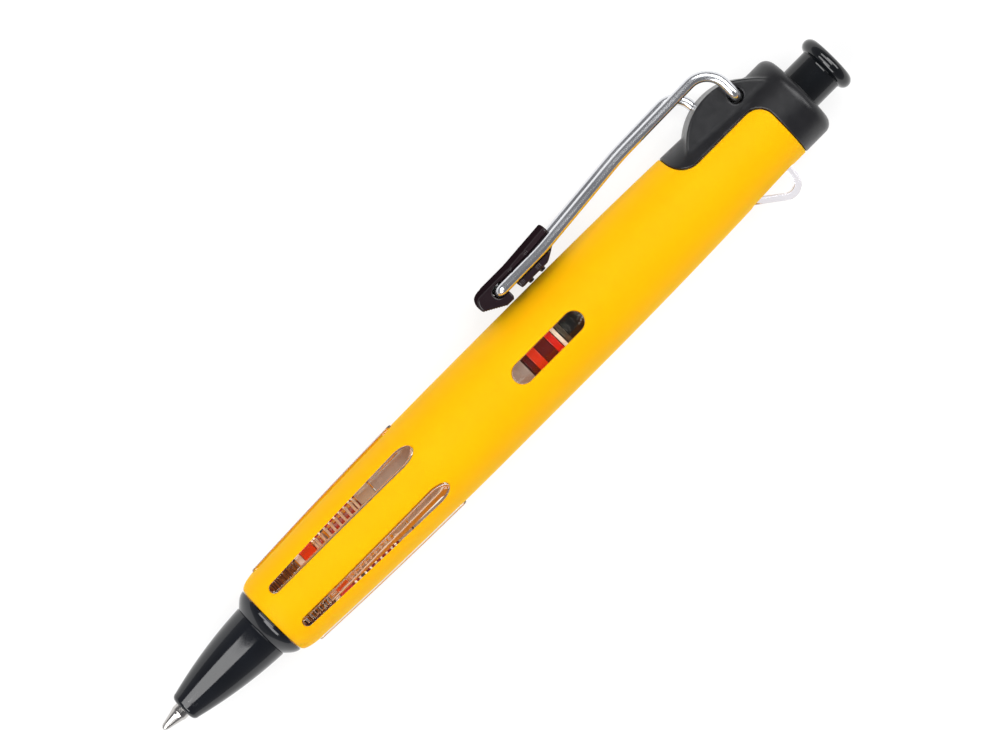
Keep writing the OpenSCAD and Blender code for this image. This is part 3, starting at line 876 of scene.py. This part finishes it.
def foot_plate(x, y, z, grow):
    """The foot's plate with its crowned top, made wider by grow on both sides."""
    top = 11.45 + 0.0725 * np.maximum(x - 75.5, 0) - 0.45 * (z / FOOT_HALF_WIDTH) ** 2
    body = meet(polygon_field(x, y, FOOT_SIDE), (y - top) * 0.99, 0.3)
    return meet(body, np.abs(z) - FOOT_HALF_WIDTH - grow, 0.35)


def foot_field(x, y, z):
    """The clip's foot: a crowned plate with grooves for the wire, ribbed sides, a notch and two pads."""
    raised_band = np.maximum(foot_plate(x, y, z, 0.07), slab(x, 75.45, 78.85))
    body = np.minimum(foot_plate(x, y, z, 0.0), raised_band)
    rib = foot_plate(x, y, z, 0.3)
    for centre in (75.7, 78.6):
        body = join(body, meet(rib, np.abs(x - centre) - 0.22, 0.12), 0.05)
    rise = np.maximum(x - 79.5, 0) * 0.105
    groove = np.maximum(CLIP_END_X - x, slab(y, 8.83, 10.55 + rise))
    groove = np.minimum(groove, np.sqrt((x - CLIP_END_X) ** 2 + (y - 9.69) ** 2) - 0.86)
    body = meet(body, -np.maximum(groove, 4.75 - np.abs(z)), 0.2)
    body = meet(body, -np.maximum(groove, x - 73.6), 0.15)
    body = meet(body, -np.maximum(slab(x, 73.6, 75.15), y - 9.3), 0.2)
    for centre in (76.75, 78.85):
        pad = meet(np.abs(x - centre) - 0.4, np.abs(z) - 1.5, 0.15)
        body = join(body, meet(pad, slab(y, 7.3, 8.3), 0.15), 0.1)
    return body


def tangent_point(start, centre, radius, way):
    """Where a line from start touches a circle, on the side given by way."""
    to = centre - start
    heading = math.atan2(to.y, to.x) - way * math.asin(radius / to.length)
    reach = math.sqrt(to.length_squared - radius * radius)
    return start + Vector((math.cos(heading), math.sin(heading))) * reach


def loop_outline():
    """Outer outline of the lanyard loop as (station, height)."""
    centre, radius = Vector((109.6, -7.4)), 2.18
    front, rear = Vector((104.5, -6.3)), Vector((111.9, -6.3))
    touch = [tangent_point(leg, centre, radius, way) - centre for leg, way in ((front, 1), (rear, -1))]
    start, end = (math.degrees(math.atan2(p.y, p.x)) for p in touch)
    bow = arc(centre.x, centre.y, radius, start, end, 16)
    return [(front.x, -4.9), tuple(front), *bow, tuple(rear), (rear.x, -4.9)]


LOOP_SIDE = loop_outline()


def loop_field(x, y, z):
    """The lanyard loop: a band one millimetre thick, with round edges."""
    side = polygon_field(x, y, LOOP_SIDE)
    band = meet(meet(side, -(side + 1.0), 0.3), np.abs(z) - 1.2, 0.3)
    return np.maximum(band, seat_radius(x) + 0.02 - np.sqrt(y * y + z * z))


# ---------------------------------------------------------------- body pieces

make_sleeve()
make_barrel()
carved(
    "cap", cap_field, (99.8, -6.6, -6.6), (120, 8.9, 6.6), 0.17,
    cap_black, "barrel", ["rear_cap"], "black_cap",
)
carved(
    "loop", loop_field, (104, -9.8, -1.3), (112.4, -4.6, 1.3), 0.11,
    clear_loop, "barrel", ["lanyard_loop"], "clear_plastic",
)

# ---------------------------------------------------------------- nose


def nose_radius(x):
    """Radius of the nose cone between its mouth and its flare."""
    return 4.24 - 0.046 * (18.2 - x) - 0.00753 * (18.2 - x) ** 2


def make_nose():
    """Nose cone with a round mouth and a bulging flare."""
    mouth, edge, collar_x, rear_x = 3.78, 0.75, 18.46, 20.4
    centre_x = mouth + edge
    outline = [(5.2, 1.8), (5.2, 1.25), (mouth + 0.08, 1.25), (mouth, 1.33)]
    outline += arc(centre_x, nose_radius(centre_x) - edge, edge, 180, 90, 8)
    outline += [(x, nose_radius(x)) for x in np.linspace(centre_x, 18.3, 25)[1:]]
    outline += [(18.36, 4.22), (18.4, 4.16), (collar_x, 4.2)]
    for k in range(1, 15):
        u = k / 14
        outline.append((collar_x + u * (rear_x - collar_x), 4.2 + (5.42 - 4.2) * math.sin(math.pi / 2 * u)))
    outline += [(20.45, 5.4), (20.45, 2.85), (19.0, 2.85), (19.0, 1.8)]
    finish_mesh("nose", *revolve(outline, 128), gloss_black, "nose", ["nose_cone"], "black_gloss")


def make_shank():
    """The nose's threaded shank, which screws into the clear barrel. It is black like the nose; its uneven
    brown colour is painted amber light, as seen through the grip slots.
    """
    thread = [20.5 + 0.04 * k for k in range(194)]
    core, sides = 3.6, 128
    points, faces = revolve([(x, core) for x in thread] + [(28.3, 3.5), (28.3, 2.8), (20.5, 2.8)], sides)
    for i, x in enumerate(thread):
        fade = limit((x - 21.6) / 0.8) * limit((28.0 - x) / 0.5)
        for k in range(sides):
            points[i * sides + k] = polar(x, core + 0.25 * fade * ridge(x, k / sides), 360 * k / sides)
    finish_mesh("shank", points, faces, shank_painted_amber_light, "nose", [], "black_gloss")


make_nose()
make_shank()
turned(
    "guide",
    [
        (29.45, 1.75, 0.1), (29.45, 3.75, 0.12), (31.5, 3.75, 0.12), (31.5, 3.2, 0.1), (32.9, 3.2, 0.15),
        (32.9, 1.75, 0.1),
    ],
    red_orange, "guide", ["spring_guide"], "red_plastic",
)
turned(
    "washer", [(28.5, 1.75, 0.1), (28.5, 3.6, 0.15), (29.4, 3.6, 0.1), (29.4, 1.75, 0.05)],
    white, "guide", ["guide_washer"], "white_plastic",
)

# ---------------------------------------------------------------- refill and cylinder

turned(
    "tip",
    [
        (0.73, 0, 0), (0.64, 0.27, 0), (0.45, 0.365, 0), (0.28, 0.36, 0.01), (0.28, 0.42, 0.02),
        (0.5, 0.5, 0.05), (1.0, 0.62, 0.2), (2.6, 1.0, 0.6), (3.0, 1.15, 0.4), (9.4, 1.15, 0.05),
        (9.5, 1.55, 0.05), (10.45, 1.55, 0.03), (10.45, 1.08, 0.02), (12.5, 1.08, 0.05), (12.5, 0, 0),
    ],
    turned_steel, "refill", ["refill_tip"], "tip_steel",
)
BALL_R = 0.35
ball_outline = [(0, 0), *arc(BALL_R, 0, BALL_R, 180, 0, 24)[1:-1], (2 * BALL_R, 0)]
finish_mesh("ball", *revolve(ball_outline, 48), turned_steel, "ball", ["writing_ball"], "ball_steel")
turned(
    "ink_tube", [(10.5, 1.1, 0.03), (10.5, 1.55, 0.05), (56.0, 1.55, 0.05), (56.0, 1.1, 0.03)],
    milky, "refill", ["refill_tube"], "refill_plastic", 64,
)
turned(
    "ink", [(12.6, 0, 0), (12.6, 1.08, 0.1), (44.0, 1.08, 0.2), (44.0, 0, 0)],
    ink_black, "refill", ["ink_column"], "ink", 48,
)
turned(
    "follower", [(44.05, 0, 0), (44.05, 1.08, 0.2), (47.0, 1.08, 0.3), (47.0, 0, 0)],
    grease, "refill", ["ink_follower"], "follower_gel", 48,
)
turned(
    "collar", [(34.3, 1.65, 0.05), (34.3, 3.25, 0.2), (39.85, 3.25, 0.1), (39.85, 1.65, 0.05)],
    dark_red, "refill", ["refill_collar"], "dark_red_plastic",
)
turned(
    "cylinder_end",
    [
        (39.9, 1.7, 0.05), (39.9, 3.75, 0.12), (42.4, 3.75, 0.14), (42.4, 2.45, 0.05),
        (44.6, 2.45, 0.1), (44.6, 1.7, 0.05),
    ],
    mid_grey, "refill", ["cylinder_cap"], "mid_grey_plastic",
)
turned(
    "cylinder",
    [
        (42.6, 2.5, 0.05), (42.6, 3.75, 0.14), (68.1, 3.75, 0.15), (68.1, 2.9, 0.12), (54.0, 2.9, 0.1),
        (54.0, 2.65, 0.05), (50.0, 2.65, 0.05), (50.0, 1.7, 0.05), (44.8, 1.7, 0.05), (44.8, 2.5, 0.05),
    ],
    grey, "refill", ["pressure_cylinder"], "grey_plastic",
)
turned(
    "seal", [(50.1, 1.58, 0.05), (50.1, 2.6, 0.15), (54.0, 2.6, 0.15), (54.0, 1.58, 0.05)],
    rubber, "refill", ["refill_seal"], "black_rubber", 64,
)

# ---------------------------------------------------------------- pump

turned(
    "piston_body",
    [
        (62.5, 0, 0), (62.5, 2.65, 0.2), (63.45, 2.65, 0.03), (63.45, 2.05, 0.03), (64.35, 2.05, 0.03),
        (64.35, 2.65, 0.03), (65.85, 2.65, 0.03), (65.85, 2.05, 0.03), (66.75, 2.05, 0.03),
        (66.75, 2.65, 0.03), (68.3, 2.65, 0.05), (68.3, 3.3, 0.12), (73.6, 3.3, 0.1), (73.6, 2.05, 0.05),
        (70.5, 2.05, 0.05), (70.5, 0, 0),
    ],
    maroon, "pump", ["piston"], "red_plastic",
)
for name, x0, x1, color in (("band_front", 69.2, 70.6, red_orange), ("band_rear", 72.55, 73.55, red)):
    turned(
        name, [(x0, 3.32, 0.03), (x0, 3.85, 0.12), (x1, 3.85, 0.12), (x1, 3.32, 0.03)],
        color, "pump", [], "red_plastic",
    )
for name, x, nodes in (("o_ring_1", 63.9, ["piston_o_rings"]), ("o_ring_2", 66.3, [])):
    finish_mesh(name, *revolve(arc(x, 2.48, 0.4, 0, 340, 17), 64), rubber, "pump", nodes, "black_rubber")
turned(
    "packing", [(73.65, 2.05, 0.05), (73.65, 3.85, 0.12), (74.25, 3.85, 0.12), (74.25, 2.05, 0.05)],
    white, "pump", ["packing_ring"], "white_plastic",
)
turned(
    "plunger",
    [
        (70.7, 0, 0), (70.7, 2.0, 0.2), (74.35, 2.0, 0.02), (74.35, 3.4, 0.06), (75.2, 3.4, 0.05),
        (75.2, 3.85, 0.1), (75.55, 3.85, 0.06), (75.62, 3.72, 0.04), (75.75, 3.72, 0.04),
        (75.82, 3.85, 0.06), (76.9, 3.85, 0.12), (77.1, 3.0, 0.1), (97.3, 3.0, 0.05), (97.3, 3.9, 0.12),
        (98.1, 3.9, 0.12), (98.1, 1.5, 0.05), (101.2, 1.5, 0.2), (101.2, 0, 0),
    ],
    knob_black, "pump", ["plunger_rod"], "black_gloss",
)
turned(
    "plunger_collar", [(74.42, 3.42, 0.03), (74.42, 3.8, 0.1), (75.12, 3.8, 0.1), (75.12, 3.42, 0.03)],
    olive, "pump", [], "black_gloss",
)


TEETH = 8


def crowned(name, corners, teeth_x, teeth_r, material, body, nodes, slot):
    """A turned piece with a crown of slanted teeth."""
    points, faces = revolve(rounded_outline(corners), 96)
    root, tip = teeth_x
    pitch = 360 / TEETH
    for k in range(TEETH):
        start, width = pitch * k, pitch * 0.86
        n = len(points)
        for r in teeth_r:
            points += [polar(root, r, start), polar(tip, r, start + width * 0.2)]
            points += [polar(root + (tip - root) * 0.25, r, start + width), polar(root, r, start + width)]
        faces += [[n, n + 1, n + 2, n + 3], [n + 7, n + 6, n + 5, n + 4]]
        faces += grid_faces(n, 2, 4)
    finish_mesh(name, points, faces, material, body, nodes, slot)


crowned(
    "rotor",
    [
        (98.3, 1.55, 0.05), (98.3, 3.1, 0.15), (103.2, 3.1, 0.05), (103.2, 2.2, 0.05), (101.6, 2.2, 0.05),
        (101.6, 1.55, 0.05),
    ],
    (103.1, 103.95), (2.2, 3.1), ivory, "rotor", ["cam_rotor"], "ivory_plastic",
)
BLOCK_FACES = [[0, 1, 3, 2], [4, 6, 7, 5], [0, 4, 5, 1], [2, 3, 7, 6], [0, 2, 6, 4], [1, 5, 7, 3]]
for k in range(4):
    rib = [polar(x, r, 90 * k + t) for x in (98.5, 102.8) for r in (3.0, 3.42) for t in (-8, 8)]
    finish_mesh(f"rotor_rib_{k + 1}", rib, BLOCK_FACES, ivory, "rotor", [], "ivory_plastic")


def make_guide():
    """Cam guide: a tube with eight splines inside."""
    sides = 192
    stations = [98.6, 98.65, 105.5, 105.9, 112.8, 113.0, 116.85, 116.9]
    outline = [(x, 4.4) for x in stations] + [(x, 3.98) for x in reversed(stations)]
    points, faces = revolve(outline, sides)
    for i, (x, _) in enumerate(outline):
        if i < len(stations) or not 105.6 < x < 113:
            continue
        for k in range(sides):
            if (k / sides * TEETH) % 1 < 0.32:
                points[i * sides + k] = polar(x, 3.57, 360 * k / sides)
    finish_mesh("cam_tube", points, faces, white, "barrel", ["cam_guide"], "white_plastic", 30)


make_guide()
turned(
    "stop_ring",
    [
        (84.4, 3.15, 0.05), (84.4, 3.9, 0.1), (85.0, 3.9, 0.05), (85.0, 4.4, 0.08), (87.0, 4.4, 0.1),
        (87.0, 3.15, 0.05),
    ],
    rubber, "barrel", ["spring_stop"], "dark_plastic",
)

# ---------------------------------------------------------------- springs

springs = (
    ("return_coil", "return_spring", "refill", 31.6, 39.8, 3.55, 0.2, 9.5),
    ("plunger_coil", "plunger_spring", "pump", 87.1, 97.2, 3.6, 0.25, 9),
)
for name, node, mover, x0, x1, radius, wire, turns in springs:
    path = spring_path(x0, x1, radius, wire, turns)
    coil = swept(name, path, wire, spring_steel, None, [node], "spring_steel", sides=12, domes=3)
    place(x0, 0, 0)
    place(x1, 0, 0)
    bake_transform(coil)

# ---------------------------------------------------------------- knob

rim = [(x, r, 0) for x, r in arc(124.8, 3.1, 1.05, 172, 4, 21)]
crowned(
    "knob",
    [
        (122.0, 0, 0), (122.0, 2.2, 0.1), (105.0, 2.2, 0.05), (105.0, 3.2, 0.05), (108.5, 3.2, 0.1),
        (108.5, 3.48, 0.1), (110.0, 3.48, 0.1), (110.0, 3.2, 0.1), (123.6, 3.2, 0.1), *rim, (125.85, 0, 0),
    ],
    (105.1, 104.2), (2.2, 3.2), knob_black, "knob", ["push_knob"], "black_gloss",
)

# ---------------------------------------------------------------- clip


def rounded_path(corners, radii):
    """A path through corners, each rounded to its own radius. A radius of 0 marks an end."""
    path = []
    for i, (corner, radius) in enumerate(zip(corners, radii)):
        here = Vector(corner)
        if radius == 0:
            path.append(here)
            continue
        before, after = Vector(corners[i - 1]) - here, Vector(corners[i + 1]) - here
        path += fillet_arc(here, before, after, radius / math.tan(before.angle(after) / 2))
    return path


def clip_leg(x_end, z):
    """Corners of one leg of the clip's wire, from inside the cap to the foot."""
    inner_z = z - math.copysign(1.85, z)
    return [
        (x_end, CLIP_HOLE_Y, inner_z), (x_end, CLIP_HOLE_Y, z), (x_end, 11.38, z), (96.5, 11.1, z),
        (80.5, 9.66, z), (CLIP_END_X, 9.6, z),
    ]


near_radii, far_radii = [0, 1.0, 3.3, 40, 30, 0.9], [0, 1.0, 2.9, 40, 30, 0.9]
near_leg, far_leg = (clip_leg(x, way * 5.58) for x, way in CLIP_HOLES)
swept(
    "clip_bow", rounded_path(near_leg + far_leg[::-1], near_radii + far_radii[::-1]),
    0.75, wire_steel, "clip", ["clip_wire"], "wire_steel", sides=32, domes=5,
)
carved(
    "foot", foot_field, (69, 7.2, -6.4), (83, 12.3, 6.4), 0.11,
    plum, "clip", ["clip_foot"], "plum_plastic",
)

# ---------------------------------------------------------------- floor, light and camera


def make_floor():
    """A plain pale floor, just below the pen."""
    made, shader = new_material("floor_white", (0.2, 0.2, 0.2), Roughness=0.8, Specular_IOR_Level=0.0)
    set_inputs(shader, Emission_Color=(1, 1, 1, 1), Emission_Strength=0.8)
    mesh = bpy.data.meshes.new("floor")
    half = 1.6
    corners = [(-half, -half, 0), (half, -half, 0), (half, half, 0), (-half, half, 0)]
    mesh.from_pydata(corners, [], [(0, 1, 2, 3)])
    mesh.materials.append(made)
    floor = add_object("floor", mesh)
    floor.location.z = -0.3 * MM


make_floor()


def make_world():
    """Soft studio walls that get dimmer towards the ceiling."""
    world = bpy.data.worlds.new("studio")
    world.use_nodes = True
    split = add_node(world, "SeparateXYZ")
    link(world, add_node(world, "TexCoord").outputs["Generated"], split.inputs["Vector"])
    stops = [(0.05, (0.34, 0.34, 0.35)), (0.4, (0.2, 0.2, 0.21)), (0.8, (0.14, 0.14, 0.147))]
    walls = color_ramp(world, split.outputs["Z"], [*stops, (0.99, (0.12, 0.125, 0.135))])
    link(world, walls, world.node_tree.nodes["Background"].inputs["Color"])
    bpy.context.scene.world = world


make_world()


def aim(made, spot, right, up, back):
    """Puts a lamp or a camera on a spot, turned by where its right, its top and its back point."""
    made.matrix_world = Matrix.Translation(spot) @ Matrix((right, up, back)).transposed().to_4x4()


def softbox(name, angle, lean, distance, length, width, radiance):
    """A rectangular light, angle degrees from the upper window towards the clip, lean towards the knob."""
    data = bpy.data.lights.new(name, "AREA")
    data.shape = "RECTANGLE"
    data.size = length
    data.size_y = width
    data.energy = radiance * math.pi * length * width
    turn, tilt = math.radians(angle), math.radians(lean)
    out = Vector((math.sin(tilt), math.cos(tilt) * math.sin(turn), math.cos(tilt) * math.cos(turn)))
    side = Vector((0, math.cos(turn), -math.sin(turn)))
    aim(add_object(name, data), place(63, 0, 0) + out * distance, side.cross(out), side, out)


for lean in (-1, 1):
    softbox(f"key_{lean + 1}", 15.5, lean * 26.5, 0.9, 0.34, 0.9, 4.6)
    softbox(f"fill_{lean + 1}", -14.0, lean * 46, 0.9, 0.28, 0.8, 5.4)

roll, turn = math.radians(3.7), math.radians(45.1)
back = Vector((0, math.sin(roll), math.cos(roll)))
across = Vector((0, math.cos(roll), -math.sin(roll)))
along = Vector((1, 0, 0))
right = along * math.cos(turn) - across * math.sin(turn)
up = along * math.sin(turn) + across * math.cos(turn)
camera = add_object("camera", bpy.data.cameras.new("camera"))
camera.data.lens = 225
camera.data.sensor_width = 36
camera.data.clip_start = 0.05
aim(camera, place(64.9, 1.5, 0) + back * 0.83, right, up, back)
bpy.context.scene.camera = camera
bpy.context.scene.view_settings.view_transform = "Standard"
